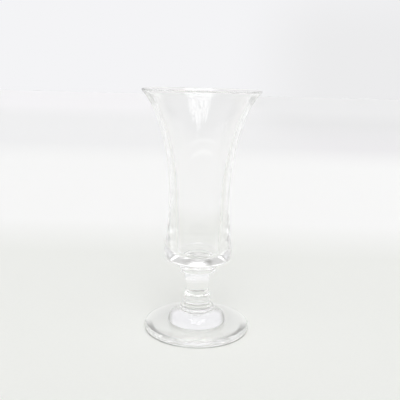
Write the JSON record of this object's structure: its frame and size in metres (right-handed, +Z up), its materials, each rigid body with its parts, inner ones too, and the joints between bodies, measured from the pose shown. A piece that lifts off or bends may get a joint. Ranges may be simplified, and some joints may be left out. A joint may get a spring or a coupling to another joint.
{
  "type": "schnapps glass",
  "caption": "Small footed drinking glass in clear glass: flared funnel bowl with a narrow waist and heavy base, short knopped stem, round domed foot.",
  "frame": {"origin": "where the glass's axis meets the table, at the centre of the foot's underside", "axes": "+Z up along the glass's axis, from the foot to the rim; the glass is round, so +X and +Y are any two level directions"},
  "size_m": [0.0524, 0.0524, 0.11],
  "materials": {
    "clear_glass": "clear soda-lime glass, smooth and fire polished"
  },
  "bodies": {
    "root": {"foot": "clear_glass", "lower_merese": "clear_glass", "stem": "clear_glass", "upper_merese": "clear_glass", "bowl": "clear_glass"}
  },
  "joints": []
}
